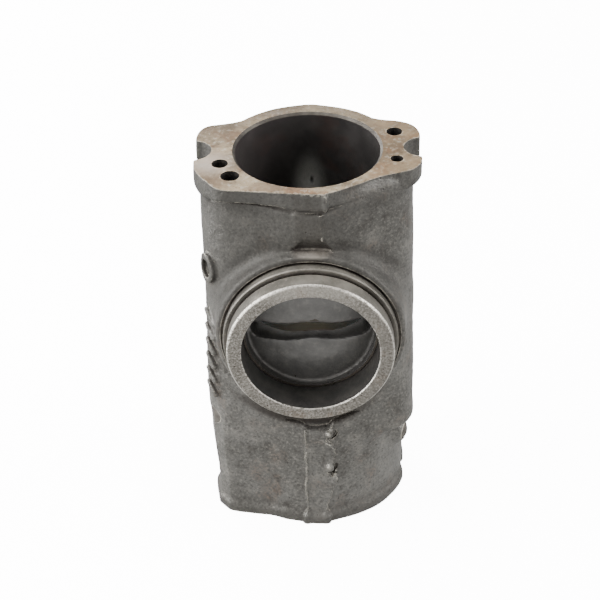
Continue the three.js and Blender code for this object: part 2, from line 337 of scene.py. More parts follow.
def flange_crease(g, column_field):
    """The shut line of the die under the flange's front, and a second one above it in the middle."""
    middle = 1 - step(np.abs(g.x - 0.2), 5.5, 7.5)
    under = HEIGHT - flange_depth(g) - 0.3
    surface = column_field + 0.1 - 0.2 * middle
    line = np.hypot(surface, g.z - under) - 1.15 + 0.9 * step(g.x, 8, 20)
    second = np.hypot(g.y + 43.2, g.z - 197.3) - 0.7 + 3 * (1 - middle)
    return np.maximum(np.minimum(line, second), np.maximum(g.y + 24, np.abs(g.x + 9) - 36))


def boss(g):
    """Round forged boss, its flank steep at the sides and drafted towards the top and bottom."""
    up = g.z - STUB_Z
    r = np.hypot(g.x, up)
    draft = 0.05 + 0.25 * step(np.abs(up) / np.maximum(r, 1), 0.8, 0.97)
    flank = r - BOSS_R - draft * (g.y - BOSS_FRONT_Y)
    corner = 2.4 - 1.7 * step(up, 38, 45) * (1 - step(np.abs(g.x - 2), 8, 16))
    return cross(cross(flank, BOSS_FRONT_Y - g.y, corner), g.y + 12, 2)


def boss_relief(g):
    """What is cleared round the boss: a flared scoop above it, and a deeper annular step below it."""
    up = g.z - STUB_Z
    r = np.hypot(g.x, up)
    outside = BOSS_R + 0.3 - r
    scoop = g.y + 38.9 + (r - 48) * 0.36
    sides = np.abs(g.x - 1.6) - 4.2 - 0.85 * np.maximum(54 - r, 0)
    above = np.maximum(np.maximum(outside, scoop), np.maximum(sides, 30 - up))
    on_band = step(g.x, -7, -3) * (1 - step(g.x, 7.5, 11))
    rim = np.maximum(r - 59.2 - 2.4 * on_band, np.abs(g.x - 3) - 27)
    depth = RECESS_R - np.hypot(g.x, g.y) + 6.5 * step(np.abs(g.x - 3), 12, 27)
    below = np.maximum(np.maximum(outside, rim), np.maximum(depth, 30 + up))
    return np.maximum(above, g.y + 20), np.maximum(below, g.y + 20)


def band_edges(g):
    """The trimmed flash's left and right edges: clean on the left, torn on the right lower down."""
    lower = 1 - step(g.z, 75, 90)
    torn = 2.2 * bump(g.z, 48, 4.5) + 2.4 * bump(g.z, 31, 5.5) - 2.8 * bump(g.z, 56, 3)
    torn = torn + 1.2 * bump(g.z, 67, 3) - 2.8 * (1 - step(g.z, 8, 24)) + 0.3 * np.sin(g.z * 1.9)
    left = -6.0 + 1.9 * lower + 0.2 * np.sin(g.z * 0.21)
    right = 5.7 + lower * (3.4 + torn)
    return left, right, lower


def flash_band(g):
    """Trimmed flash, a little proud, running from the flange to the base."""
    left, right, lower = band_edges(g)
    width = np.maximum(left - g.x, g.x - right)
    upper_face = -40.7 - 0.7 * step(g.x, -6, 3)
    face = upper_face - 1.1 * lower - g.y
    return cross(cross(width, face, 0.7), g.y + 25, 1)


def flash_ridges(g):
    """Raised lines on the band's edges, its two burrs, a streak on the flange and a fine line under it."""
    left, right, lower = band_edges(g)
    wavy = np.sin(g.z * 0.5 + 2 * np.sin(g.z * 0.17))
    line = np.hypot((g.x - left) * 0.9, g.y + 41.9 + 0.3 * lower) - 0.42 + 0.38 * wavy
    torn = np.hypot((g.x - right + 0.4) * 0.8, g.y + 42.0 + 0.4 * lower) - 0.9
    torn = torn + 0.6 * (0.5 + 0.5 * np.sin(g.z * 0.55 + 1.0)) + 3 * step(g.z, 66, 72)
    ridges = np.minimum(line + 3 * step(g.z, 66, 74), torn)
    for z in BURRS_Z:
        burr = np.sqrt((g.x - BURR_X) ** 2 + (g.y + 42.9) ** 2 + ((g.z - z) * 0.8) ** 2) - BURR_R
        ridges = np.minimum(ridges, burr)
    streak = np.maximum(np.hypot(g.x - 8.3, g.y + 41.6) - 1.0, np.abs(g.z - 198.5) - 4)
    flare = 2.2 * (1 - step(g.z, 150, 160))
    fine = np.hypot(g.x - 6.0 - flare, g.y + 41.4) - 0.6 + 0.1 * wavy
    fine = np.maximum(fine, np.abs(g.z - 178) - 15)
    return np.minimum(ridges, np.minimum(streak, fine))


def flash_nicks(g):
    """At each burr, a crescent nick round it and a scratch that runs down to the right."""
    cuts = np.float32(1e3)
    for z in BURRS_Z:
        right, up = g.x - 8.5, g.z - z + 1.6
        hook = np.abs(np.hypot(right, up) - 2.7) - 0.85
        hook = np.maximum(hook, np.maximum(0.6 - 0.7 * (right - up), g.y + 38.6))
        along = np.clip((g.x - 7.5) / 6.5, 0, 1)
        depth = g.y + 42.6 - 2.2 * step(g.x, 8.5, 11)
        scratch = np.hypot(g.z - (z - 5.2 - 2.2 * along), depth) - 1.15
        scratch = np.maximum(scratch, np.abs(g.x - 10.5) - 3.2)
        cuts = np.minimum(cuts, np.minimum(hook, scratch))
    return cuts


def edge_chips(g):
    """Small chips out of the top face's front edge."""
    chips = np.float32(1e3)
    for x, y, r in EDGE_CHIPS:
        chip = np.sqrt(((g.x - x) * 0.6) ** 2 + (g.y - y) ** 2 + (g.z - HEIGHT) ** 2) - r
        chips = np.minimum(chips, chip)
    return chips


def pocket(g):
    """The as-forged bowl behind the stub, its floor bulged over the round bore wall."""
    radial = np.hypot(g.x, g.z - STUB_Z) - POCKET_R
    up = g.z - STUB_Z
    floor = -41.2 + g.x**2 / 170 + 2.4 * step(-up, 14, 31) + 1.6 * step(up, 16, 31)
    floor = floor - 0.9 * bump(g.x, 1.5, 7) * bump(up, 8.2, 2.6)
    return cross(radial, g.y - floor, 1.8)


def slot_outline(x, z):
    """Distance outside the exhaust slot: round ends, its middle arched up and its right end a little higher."""
    arch = 2.2 * bump(x, 1, 9) + 1.0 * step(x, 8, 28)
    up = np.abs(z - SLOT_Z - arch) - SLOT_HALF_HEIGHT
    ends = np.abs(x) - SLOT_HALF_LENGTH
    r = SLOT_HALF_HEIGHT
    return np.hypot(np.maximum(ends + r, 0), np.maximum(up + r, 0)) - r


def pin_pad(g):
    """Soft pad on the forging, round the lock pin's head."""
    x, y, z = PIN_PAD
    return np.sqrt(((g.x - x) * 0.9) ** 2 + (g.y - y) ** 2 + ((g.z - z) * 0.85) ** 2) - PIN_PAD_R


def raised_marks(g):
    """A column of plain slanted bars and a ring on the left lobe, in place of the foundry's marks."""
    marks = np.float32(1e3)
    across = g.x * -math.sin(MARKS_AT) + g.y * math.cos(MARKS_AT)
    for k in range(MARKS):
        up = g.z - MARKS_LOW_Z - MARKS_PITCH * k
        u = across * math.cos(MARKS_TILT) + up * math.sin(MARKS_TILT)
        v = -across * math.sin(MARKS_TILT) + up * math.cos(MARKS_TILT)
        marks = np.minimum(marks, np.hypot(u, np.maximum(np.abs(v) - 3.6, 0)) - 1.6)
    ring = np.abs(np.hypot(across * 1.2, (g.z - RING_Z) * 0.8) - 5.4) - 1.4
    return np.minimum(marks, ring)


def forging_field(g):
    """Everything that the forging die and the trimmer shaped."""
    bare = column(g)
    marks = cross(raised_marks(g), bare - MARKS_RELIEF, 0.4)
    marks = cross(marks, g.x + 30, 0.5)
    field = join(bare, marks, 0.4)
    field = join(field, flash_band(g), 1.0)
    field = join(field, flash_ridges(g), 0.6)
    fillet = 0.5 + 5.0 * step(np.abs(g.x), 42, 50)
    field = join(field, flange(g), fillet)
    field = cross(field, -flange_crease(g, bare), 1.0)
    above, below = boss_relief(g)
    field = cross(field, -above, 1.2)
    field = cross(field, -below, 2.6)
    up = g.z - STUB_Z
    steep = step(np.abs(up), 40, 47) * (1 - step(np.abs(g.x - 2), 9, 22))
    field = join(field, boss(g), 5.0 - 4.4 * steep)
    field = field - 1.6 * (1 - step(g.z, 3.5, 8.0)) * (1 - step(g.x, 47.0, 49.5))
    field = join(field, pin_pad(g), 3.0)
    for side in (-1, 1):
        notch = ROD_NOTCH_R - np.hypot(g.x - side * ROD_X, g.y)
        field = cross(field, notch, 1.2)
    field = cross(field, -flash_nicks(g), 0.4)
    field = cross(field, -edge_chips(g), 0.3)
    field = cross(field, -pocket(g), 1.4)
    slot = cross(slot_outline(g.x, g.z), g.y + 10, 1)
    return cross(field, -slot, 0.8).astype(np.float32)


def mesh_from_field(name, g, field):
    """The field's zero surface as a closed mesh of quads."""
    vdb = openvdb.FloatGrid(background=3 * VOXEL)
    vdb.copyFromArray(np.ascontiguousarray(field))
    points, quads = vdb.convertToQuads(isovalue=0.0)
    mesh = bpy.data.meshes.new(name)
    mesh.vertices.add(len(points))
    mesh.vertices.foreach_set("co", (points * VOXEL + g.low).astype(np.float32).ravel())
    mesh.loops.add(quads.size)
    mesh.loops.foreach_set("vertex_index", quads.astype(np.int32).ravel())
    mesh.polygons.add(len(quads))
    mesh.polygons.foreach_set("loop_start", np.arange(0, quads.size, 4, dtype=np.int32))
    mesh.update(calc_edges=True)
    mesh.validate()
    return mesh


def vectors(items, key):
    """One vector of each vertex or face of a mesh, as rows."""
    values = np.empty(len(items) * 3, np.float32)
    items.foreach_get(key, values)
    return values.reshape(-1, 3)


def roughen(mesh):
    """Low, wide waves and small dents of a hammered forging, weaker near the bore."""
    co = vectors(mesh.vertices, "co")
    normal = vectors(mesh.vertices, "normal")
    height = np.empty(len(co), np.float32)
    for i, p in enumerate(co):
        wide = noise.noise(Vector(p) * 0.055)
        mid = noise.noise(Vector(p) * 0.21 + Vector((7, 3, 1)))
        fine = noise.noise(Vector(p) * 0.75)
        height[i] = 0.32 * wide + 0.14 * mid + 0.07 * fine
    inner = np.hypot(co[:, 0], co[:, 1]) < 40
    height *= np.where(inner, 0.6, 1)
    co += normal * height[:, None]
    co[:, 0] = np.clip(co[:, 0], -HALF_WIDTH, HALF_WIDTH)
    co[:, 1] = np.minimum(co[:, 1], FLANGE_BACK_Y + 0.8)
    mesh.vertices.foreach_set("co", co.ravel())
    mesh.update()


# ---------------------------------------------------------------- machining


def placed(name, data):
    """A new object in the scene."""
    ob = bpy.data.objects.new(name, data)
    bpy.context.scene.collection.objects.link(ob)
    return ob


def mesh_from(name, bm):
    """A finished bmesh as a mesh."""
    mesh = bpy.data.meshes.new(name)
    bm.to_mesh(mesh)
    bm.free()
    return mesh


def turned(name, profile, axis="Z", segments=192):
    """A closed mesh turned about Z or X. Its (radius, height) profile is closed or ends on the axis."""
    bm = bmesh.new()
    rings = []
    for r, h in profile:
        if r < 1e-6:
            rings.append([bm.verts.new((0, 0, h))])
            continue
        ring = []
        for k in range(segments):
            a = 2 * math.pi * k / segments
            ring.append(bm.verts.new((r * math.cos(a), r * math.sin(a), h)))
        rings.append(ring)
    closed = profile[0][0] > 1e-6
    pairs = zip(rings, rings[1:] + rings[:1]) if closed else zip(rings, rings[1:])
    for low, high in pairs:
        for k in range(segments):
            n = (k + 1) % segments
            corners = []
            for v in (low[k % len(low)], low[n % len(low)], high[n % len(high)], high[k % len(high)]):
                if v not in corners:
                    corners.append(v)
            bm.faces.new(corners)
    bmesh.ops.recalc_face_normals(bm, faces=bm.faces)
    if axis == "X":
        bm.transform(Matrix.Rotation(math.pi / 2, 4, "Y"))
    return mesh_from(name, bm)


def bar(r, low, high, axis="Z", segments=96):
    """A round bar from low to high along the axis."""
    return turned("bar", [(0, low), (r, low), (r, high), (0, high)], axis, segments)


def box_mesh(low, high):
    bm = bmesh.new()
    bmesh.ops.create_cube(bm, size=1)
    size = [b - a for a, b in zip(low, high)]
    middle = [(a + b) / 2 for a, b in zip(low, high)]
    bm.transform(Matrix.Translation(middle) @ Matrix.Diagonal((*size, 1)))
    return mesh_from("block", bm)


def cut(target, mesh, matrix=None, keep=False):
    """Takes a mesh's shape out of the target, or keeps only what both share."""
    if matrix is not None:
        mesh.transform(matrix)
    cutter = placed("cutter", mesh)
    modifier = target.modifiers.new("cut", "BOOLEAN")
    modifier.operation = "INTERSECT" if keep else "DIFFERENCE"
    modifier.solver = "MANIFOLD"
    modifier.object = cutter
    graph = bpy.context.evaluated_depsgraph_get()
    result = bpy.data.meshes.new_from_object(target.evaluated_get(graph))
    old = target.data
    target.modifiers.remove(modifier)
    target.data = result
    bpy.data.meshes.remove(old)
    bpy.data.objects.remove(cutter)


def bore_mesh():
    """The stepped bore: bush seat, bush stop, bore and chamfered mouth."""
    profile = [
        (0, -5),
        (BUSH_R + FIT_GAP, -5),
        (BUSH_R + FIT_GAP, BUSH_LENGTH + FIT_GAP),
        (BUSH_STOP_R, BUSH_LENGTH + FIT_GAP),
        (BUSH_STOP_R, BUSH_LENGTH + BUSH_RIB_H),
        (BORE_R, BUSH_LENGTH + BUSH_RIB_H),
        (BORE_R, HEIGHT - BORE_CHAMFER),
        (BORE_R + BORE_CHAMFER, HEIGHT),
        (BORE_R + BORE_CHAMFER, HEIGHT + 5),
        (0, HEIGHT + 5),
    ]
    return turned("bore", profile, segments=256)


def plug_line(node):
    """A plug's y, z, radius, inner face x and side."""
    low, high = local_box(node)
    side = -1 if high.x < 0 else 1
    inner = high.x if side < 0 else low.x
    return (low.y + high.y) / 2, (low.z + high.z) / 2, (high.z - low.z) / 2, inner, side


def pin_place():
    """Turns X to the lock pin's direction and lifts it to the pin's height."""
    low, high = local_box("guide_bush_lock_pin")
    return Matrix.Translation((0, 0, (low.z + high.z) / 2)) @ Matrix.Rotation(PIN_ANGLE, 4, "Z")


def machine(body):
    """Everything that was cut after forging."""
    cut(body, box_mesh((-FAR, -FAR, HEIGHT), (FAR, FAR, HEIGHT + FAR)))
    cut(body, box_mesh((-FAR, -FAR, -FAR), (FAR, FAR, 0)))
    cut(body, bore_mesh())
    to_front = Matrix.Translation((0, 0, STUB_Z)) @ Matrix.Rotation(math.pi / 2, 4, "X")
    cut(body, bar(SPOT_FACE_R, -SEAT_Y, -SEAT_Y + 15, "Z", 256), to_front)
    inner, outer, end = STUB_BORE_R - FIT_GAP, PILOT_R + FIT_GAP, PILOT_END_Y + FIT_GAP
    ring = [(inner, -end), (outer, -end), (outer, -SEAT_Y + 3), (inner, -SEAT_Y + 3)]
    cut(body, turned("pilot", ring, segments=256), to_front)
    for x, y, r, depth in HOLES:
        cut(body, bar(r, HEIGHT - depth, HEIGHT + 5), Matrix.Translation((x, y, 0)))
    for node in PLUGS:
        y, z, r, inner, side = plug_line(node)
        at = Matrix.Translation((0, y, z))
        low, high = sorted((inner - side * PLUG_SEAT_GAP, side * 70))
        cut(body, bar(r + PLUG_SEAT_GAP, low, high, "X", 64), at)
        low, high = sorted((side * 20, side * 60))
        cut(body, bar(CROSS_DRILLING_R, low, high, "X", 48), at)
    turn = pin_place()
    cut(body, bar(PIN_R + FIT_GAP, 20, 70, "X", 48), turn)
    cut(body, bar(PIN_HEAD_R + FIT_GAP, PIN_SEAT, 70, "X", 64), turn)


# ---------------------------------------------------------------- the other pieces


def stub_profile():
    """Turned ring as (radius, y): face, land, ring groove, collar, pilot."""
    edge, lip = 1.1, 0.5
    return [
        (STUB_BORE_R + lip, STUB_FACE_Y),
        (STUB_R - edge, STUB_FACE_Y),
        (STUB_R - 0.25, STUB_FACE_Y + edge - 0.25),
        (STUB_R, STUB_FACE_Y + edge + 0.25),
        (STUB_R, COLLAR_FRONT_Y - 1.6),
        (STUB_R - 0.2, COLLAR_FRONT_Y - 1.4),
        (STUB_R - 1.6, COLLAR_FRONT_Y - 1.4),
        (STUB_R - 1.6, COLLAR_FRONT_Y),
        (COLLAR_R - 0.5, COLLAR_FRONT_Y),
        (COLLAR_R, COLLAR_FRONT_Y + 0.5),
        (COLLAR_R, SEAT_Y - 0.4),
        (COLLAR_R - 0.4, SEAT_Y),
        (PILOT_R, SEAT_Y),
        (PILOT_R, PILOT_END_Y - 0.4),
        (PILOT_R - 0.4, PILOT_END_Y),
        (STUB_BORE_R, PILOT_END_Y),
        (STUB_BORE_R, STUB_FACE_Y + lip),
    ]


def bush_profile():
    """Guide bush as (radius, z), with two oil grooves in its bore."""
    r, lead, deep = BUSH_BORE_R, 2.0, BUSH_BORE_R + 1.2
    grooves = []
    for z in BUSH_GROOVES_Z:
        grooves += [(r, z + 2), (deep, z + 1.5), (deep, z - 1.5), (r, z - 2)]
    return [
        (r + lead, 0),
        (BUSH_R - 1, 0),
        (BUSH_R, 1),
        (BUSH_R, BUSH_LENGTH - 0.6),
        (BUSH_R - 0.6, BUSH_LENGTH),
        (r + lead, BUSH_LENGTH),
        (r, BUSH_LENGTH - lead),
        *grooves,
        (r, lead),
    ]


def plug_mesh(node, forging):
    """A plug, its outer end dressed flush with the forging."""
    y, z, r, inner, side = plug_line(node)
    length = 64 - abs(inner)
    profile = [(0, 0), (r - 0.5, 0), (r, 0.5), (r, length), (0, length)]
    mesh = turned(node, profile, "X", 64)
    if side < 0:
        mesh.transform(Matrix.Rotation(math.pi, 4, "Z"))
    mesh.transform(Matrix.Translation((inner, y, z)))
    plug = placed(node, mesh)
    cut(plug, forging.copy(), keep=True)
    mesh = plug.data
    bpy.data.objects.remove(plug)
    mesh.materials.clear()
    return mesh


def pin_mesh():
    """Lock pin with a peened, dented head."""
    end, bevel = PIN_INNER_END, 0.8
    shank = [(0, end), (PIN_R - bevel, end), (PIN_R, end + bevel), (PIN_R, PIN_SEAT)]
    angles = np.linspace(0.05, math.pi / 2 - 0.05, 14)
    rim = PIN_TOP - PIN_HEAD_RISE
    dome = [(PIN_HEAD_R * math.cos(a), rim + PIN_HEAD_RISE * math.sin(a)) for a in angles]
    profile = [*shank, (PIN_HEAD_R - 0.2, PIN_SEAT), *dome, (0, PIN_TOP)]
    mesh = turned("pin", profile, "X", 64)
    for v in mesh.vertices:
        if v.co.x > PIN_SEAT + 0.3:
            dent = noise.noise(Vector(v.co) * 0.35) * 0.35
            v.co.x = min(v.co.x + dent, PIN_TOP)
    mesh.transform(pin_place())
    return mesh


def piece(name, mesh, node):
    """A finished mesh, in millimetres about the bore axis, as a piece in the frame."""
    mesh.transform(Matrix.Translation(AXIS) @ Matrix.Scale(MM, 4))
    mesh.name = name
    ob = placed(name, mesh)
    mesh.shade_smooth()
    mesh.set_sharp_from_angle(angle=math.radians(32))
    weighted = ob.modifiers.new("weighted_normals", "WEIGHTED_NORMAL")
    weighted.keep_sharp = True
    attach(ob, "root")
    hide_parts(node)
    return ob


# ---------------------------------------------------------------- materials


class Shader:
    """A material's node tree, with short calls for the nodes that repeat."""

    def __init__(self, name):
        self.material = bpy.data.materials.new(name)
        self.material.use_nodes = True
        self.tree = self.material.node_tree
        self.bsdf = self.tree.nodes["Principled BSDF"]
        self.place = self.node("ShaderNodeTexCoord").outputs["Object"]
        self.colour = None

    def node(self, kind, **values):
        made = self.tree.nodes.new(kind)
        for key, value in values.items():
            setattr(made, key, value)
        return made

    def link(self, source, target):
        if isinstance(source, (int, float, tuple)):
            target.default_value = source
        else:
            self.tree.links.new(source, target)

    def noise(self, scale, detail=4.0, rough=0.55, place=None, distortion=0.0):
        """Noise from 0 to 1, with its scale in features per metre."""
        made = self.node("ShaderNodeTexNoise")
        self.link(place or self.place, made.inputs["Vector"])
        made.inputs["Scale"].default_value = scale
        made.inputs["Detail"].default_value = detail
        made.inputs["Roughness"].default_value = rough
        made.inputs["Distortion"].default_value = distortion
        return made.outputs["Fac"]

    def cells(self, scale):
        """Distance to the nearest of scattered points."""
        made = self.node("ShaderNodeTexVoronoi")
        self.link(self.place, made.inputs["Vector"])
        made.inputs["Scale"].default_value = scale
        return made.outputs["Distance"]

    def ramp(self, value, low, high, start=0.0, end=1.0):
        """value from low to high mapped smoothly to start to end."""
        made = self.node("ShaderNodeMapRange", interpolation_type="SMOOTHSTEP")
        self.link(value, made.inputs["Value"])
        made.inputs["From Min"].default_value = low
        made.inputs["From Max"].default_value = high
        made.inputs["To Min"].default_value = start
        made.inputs["To Max"].default_value = end
        return made.outputs["Result"]

    def math(self, operation, a, b=0.0, clamp=False):
        made = self.node("ShaderNodeMath", operation=operation, use_clamp=clamp)
        self.link(a, made.inputs[0])
        self.link(b, made.inputs[1])
        return made.outputs[0]

    def times(self, first, *others):
        """Product of masks and shares."""
        for other in others:
            first = self.math("MULTIPLY", first, other)
        return first

    def mix(self, factor, a, b):
        """Colour a where factor is 0 and b where it is 1."""
        made = self.node("ShaderNodeMix", data_type="RGBA")
        self.link(factor, made.inputs["Factor"])
        self.link(rgba(a), made.inputs["A"])
        self.link(rgba(b), made.inputs["B"])
        return made.outputs["Result"]

    def coat(self, factor, colour):
        """Lays a colour over what is there, by the factor."""
        self.colour = self.mix(factor, self.colour, colour)

    def stretched(self, scale):
        """Object coordinates scaled by direction, for drawn-out marks."""
        made = self.node("ShaderNodeMapping")
        made.inputs["Scale"].default_value = scale
        self.link(self.place, made.inputs["Vector"])
        return made.outputs["Vector"]

    def split(self):
        """x, y and z of the object's coordinates, in metres."""
        made = self.node("ShaderNodeSeparateXYZ")
        self.link(self.place, made.inputs[0])
        return made.outputs

    def worn_edge(self, radius, low=0.02, high=0.2):
        """1 on edges and 0 on open surfaces, from how far a rounded normal leans away."""
        bevel = self.node("ShaderNodeBevel", samples=6)
        bevel.inputs["Radius"].default_value = radius
        geometry = self.node("ShaderNodeNewGeometry")
        dot = self.node("ShaderNodeVectorMath", operation="DOT_PRODUCT")
        self.link(bevel.outputs["Normal"], dot.inputs[0])
        self.link(geometry.outputs["Normal"], dot.inputs[1])
        away = self.math("SUBTRACT", 1.0, dot.outputs["Value"])
        return self.ramp(away, low, high)

    def reach(self, a, b):
        """Length of the vector (a, b)."""
        squares = self.math("ADD", self.math("MULTIPLY", a, a), self.math("MULTIPLY", b, b))
        return self.math("SQRT", squares)

    def from_stub(self):
        """Distance from the stub's axis."""
        x, _, z = self.split()
        return self.reach(x, self.math("SUBTRACT", z, STUB_Z * MM))

    def spot(self, *sides):
        """1 in the middle of an ellipse and 0 outside it, from two (coordinate, middle, half size)."""
        a, b = (self.math("DIVIDE", self.math("SUBTRACT", at, middle), size) for at, middle, size in sides)
        return self.ramp(self.reach(a, b), 1.0, 0.1)

    def corner_shade(self, distance, low=0.35, high=0.9):
        """Mask for painted shade: 1 in corners and under overhangs, 0 where the surface is open."""
        made = self.node("ShaderNodeAmbientOcclusion", samples=5)
        made.inputs["Distance"].default_value = distance
        return self.ramp(made.outputs["AO"], low, high, 1.0, 0.0)

    def bump(self, *layers):
        """Stacks (height, depth in metres, strength) layers on the surface."""
        normal = None
        for height, depth, strength in layers:
            made = self.node("ShaderNodeBump")
            made.inputs["Distance"].default_value = depth
            made.inputs["Strength"].default_value = strength
            self.link(height, made.inputs["Height"])
            if normal is not None:
                self.link(normal, made.inputs["Normal"])
            normal = made.outputs["Normal"]
        self.link(normal, self.bsdf.inputs["Normal"])

    def surface(self, rough, metal):
        self.link(rgba(self.colour), self.bsdf.inputs["Base Color"])
        self.link(rough, self.bsdf.inputs["Roughness"])
        self.link(metal, self.bsdf.inputs["Metallic"])
        return self.material


def rgba(colour):
    """A plain colour with its alpha added, or a socket as it is."""
    return (*colour, 1.0) if isinstance(colour, tuple) and len(colour) == 3 else colour


# Tone for painted shade
PAINTED_SHADE = (0.044, 0.042, 0.037)
# Tone for soot and painted shadow under the stub
SOOT_AND_SHADOW = (0.024, 0.019, 0.015)


def forging_material():
    """Dark grey forging: mottled scale, pits and soot, with its edges worn bright; painted shade high up, on
    the flange's front at the sides, on the boss's shoulders, above the boss, in corners and, with the soot,
    under the stub; painted highlights on the burrs and on the crest above the boss; darker towards the base.
    """
    s = Shader("forged_steel")
    broad = s.noise(24, 4, 0.6)
    mottle = s.noise(95, 6, 0.66, distortion=0.3)
    grain = s.noise(700, 4, 0.72)
    s.colour = s.mix(s.ramp(broad, 0.32, 0.68), (0.098, 0.095, 0.086), (0.158, 0.154, 0.143))
    s.coat(s.ramp(mottle, 0.50, 0.70, 0, 0.7), (0.205, 0.194, 0.174))
    s.coat(s.ramp(mottle, 0.48, 0.32, 0, 0.6), (0.050, 0.045, 0.039))
    s.coat(s.ramp(grain, 0.50, 0.68, 0, 0.55), (0.270, 0.255, 0.228))
    s.coat(s.ramp(grain, 0.48, 0.33, 0, 0.6), (0.040, 0.036, 0.031))
    rust = s.times(s.ramp(s.noise(60, 5, 0.6), 0.52, 0.70), s.ramp(grain, 0.4, 0.6))
    s.coat(s.times(rust, 0.35), (0.150, 0.092, 0.058))
    pits = s.ramp(s.cells(300), 0.04, 0.2)
    pitted = s.times(s.math("SUBTRACT", 1.0, pits), s.ramp(s.noise(130, 3), 0.56, 0.64))
    s.coat(s.times(pitted, 0.85), (0.022, 0.018, 0.015))
    x, y, z = s.split()
    # Painted shade: darker high up on the body, less so towards the right
    upper_shade = s.times(s.ramp(z, 0.075, 0.165, 0, 0.58), s.ramp(x, 0.008, 0.034, 1.0, 0.2))
    s.coat(upper_shade, PAINTED_SHADE)
    front = s.ramp(y, -0.008, -0.024)
    outermost = s.ramp(y, -0.030, -0.036)
    beside = s.math("ABSOLUTE", x)
    # Darker towards the base
    base_darkening = s.ramp(z, 0.014, 0.002, 0, 0.6)
    s.coat(base_darkening, (0.050, 0.047, 0.041))
    # Painted shade on the flange's front towards the sides
    flange_side_shade = s.times(s.ramp(z, 0.187, 0.192), s.ramp(beside, 0.012, 0.026, 0, 0.4))
    s.coat(flange_side_shade, PAINTED_SHADE)
    # Painted highlights on the burrs
    for burr_z in BURRS_Z:
        burr_highlight = s.spot((x, 0.0080, 0.0016), (z, (burr_z + 0.9) * MM, 0.0018))
        s.coat(s.times(burr_highlight, outermost), (0.27, 0.255, 0.22))
    chipped = s.times(s.spot((x, 0.003, 0.011), (z, HEIGHT * MM, 0.0018)), s.ramp(grain, 0.46, 0.56))
    s.coat(s.times(chipped, outermost), (0.62, 0.57, 0.47))
    # Painted highlight on the ledge above the boss
    crest_highlight = s.spot((x, 0.002, 0.012), (z, (STUB_Z + 46.9) * MM, 0.0021))
    s.coat(s.times(crest_highlight, front, 0.9), (0.37, 0.335, 0.29))
    around = s.from_stub()
    # Painted shade on the boss's shoulders, which are also made rougher
    shoulder_shade = s.times(
        s.ramp(around, 0.0425, 0.0455),
        s.ramp(around, 0.056, 0.050),
        s.ramp(z, (STUB_Z + 2) * MM, (STUB_Z + 18) * MM),
        s.ramp(beside, 0.009, 0.018),
        front,
    )
    s.coat(s.times(shoulder_shade, 0.55), (0.040, 0.038, 0.034))
    # Painted shade above the boss
    shade_above_boss = s.times(s.ramp(beside, 0.0072, 0.0058), s.ramp(z, 0.150, 0.156, 0, 0.3), front)
    s.coat(shade_above_boss, (0.050, 0.045, 0.038))
    # Painted shade in corners and under overhangs
    s.coat(s.times(s.corner_shade(0.006, 0.38, 0.92), 0.9), (0.028, 0.022, 0.017))
    edge = s.times(s.worn_edge(0.0009, 0.012, 0.10), s.ramp(mottle, 0.34, 0.56))
    s.coat(s.times(edge, 0.85), (0.48, 0.45, 0.38))
    # Soot and painted shadow under the stub
    soot_and_shadow = s.times(s.ramp(around, 0.0625, 0.0585), s.ramp(z, 0.084, 0.078), s.ramp(y, -0.020, -0.030))
    s.coat(s.times(soot_and_shadow, 0.88), SOOT_AND_SHADOW)
    rough = s.ramp(mottle, 0.3, 0.75, 0.38, 0.54)
    rough = s.math("ADD", rough, s.times(shoulder_shade, 0.18))
    s.bump((grain, 0.0008, 0.4), (mottle, 0.0020, 0.38), (pitted, -0.0005, 0.5))
    return s.surface(rough, 0.6)


def flange_face_material():
    """Ground end face: tan with rust, stains and speckle, a painted reflection on the left ear, browner on the
    right.
    """
    s = Shader("ground_face")
    blotch = s.noise(48, 5, 0.62, distortion=0.5)
    speck = s.noise(430, 4, 0.7)
    fine = s.noise(1500, 3, 0.7)
    s.colour = s.mix(s.ramp(blotch, 0.36, 0.66), (0.175, 0.131, 0.084), (0.385, 0.305, 0.203))
    s.coat(s.ramp(s.noise(75, 5, 0.6), 0.52, 0.68, 0, 0.75), (0.215, 0.115, 0.058))
    s.coat(s.ramp(s.noise(60, 4, 0.6), 0.56, 0.70, 0, 0.6), (0.20, 0.195, 0.185))
    s.coat(s.ramp(speck, 0.52, 0.68, 0, 0.8), (0.50, 0.45, 0.37))
    s.coat(s.ramp(speck, 0.46, 0.32, 0, 0.8), (0.085, 0.062, 0.042))
    s.coat(s.ramp(fine, 0.58, 0.72, 0, 0.6), (0.10, 0.075, 0.055))
    stain = s.ramp(s.noise(34, 3, 0.5), 0.56, 0.70, 0, 0.6)
    s.coat(stain, (0.115, 0.088, 0.062))
    x, y, _ = s.split()
    s.coat(s.ramp(y, 0.008, 0.036, 0, 0.42), (0.150, 0.118, 0.086))
    tan = s.times(s.ramp(x, 0.020, 0.042, 0, 0.6), s.ramp(blotch, 0.34, 0.60, 0.3, 1.0))
    s.coat(tan, (0.265, 0.180, 0.098))
    brown = s.ramp(s.noise(30, 5, 0.65, distortion=0.8), 0.50, 0.62, 0, 0.6)
    s.coat(brown, (0.165, 0.105, 0.062))
    # Painted reflection on the left ear
    painted_reflection = s.spot((x, -0.046, 0.016), (y, -0.004, 0.016))
    s.coat(s.times(painted_reflection, 0.6), (0.58, 0.50, 0.42))
    edge = s.times(s.worn_edge(0.0012, 0.02, 0.14), s.ramp(speck, 0.44, 0.58))
    s.coat(edge, (0.66, 0.58, 0.45))
    rough = s.ramp(blotch, 0.3, 0.7, 0.42, 0.6)
    s.bump((speck, 0.0003, 0.4), (fine, 0.0001, 0.3))
    return s.surface(rough, 0.6)


def chamfer_material():
    """Turned chamfer at the bore's mouth: plain grey steel."""
    s = Shader("bore_chamfer")
    broad = s.noise(140, 4, 0.6)
    s.colour = s.mix(s.ramp(broad, 0.35, 0.68), (0.050, 0.044, 0.037), (0.098, 0.088, 0.074))
    s.bump((s.noise(900, 3), 0.0001, 0.3))
    return s.surface(0.5, 0.6)


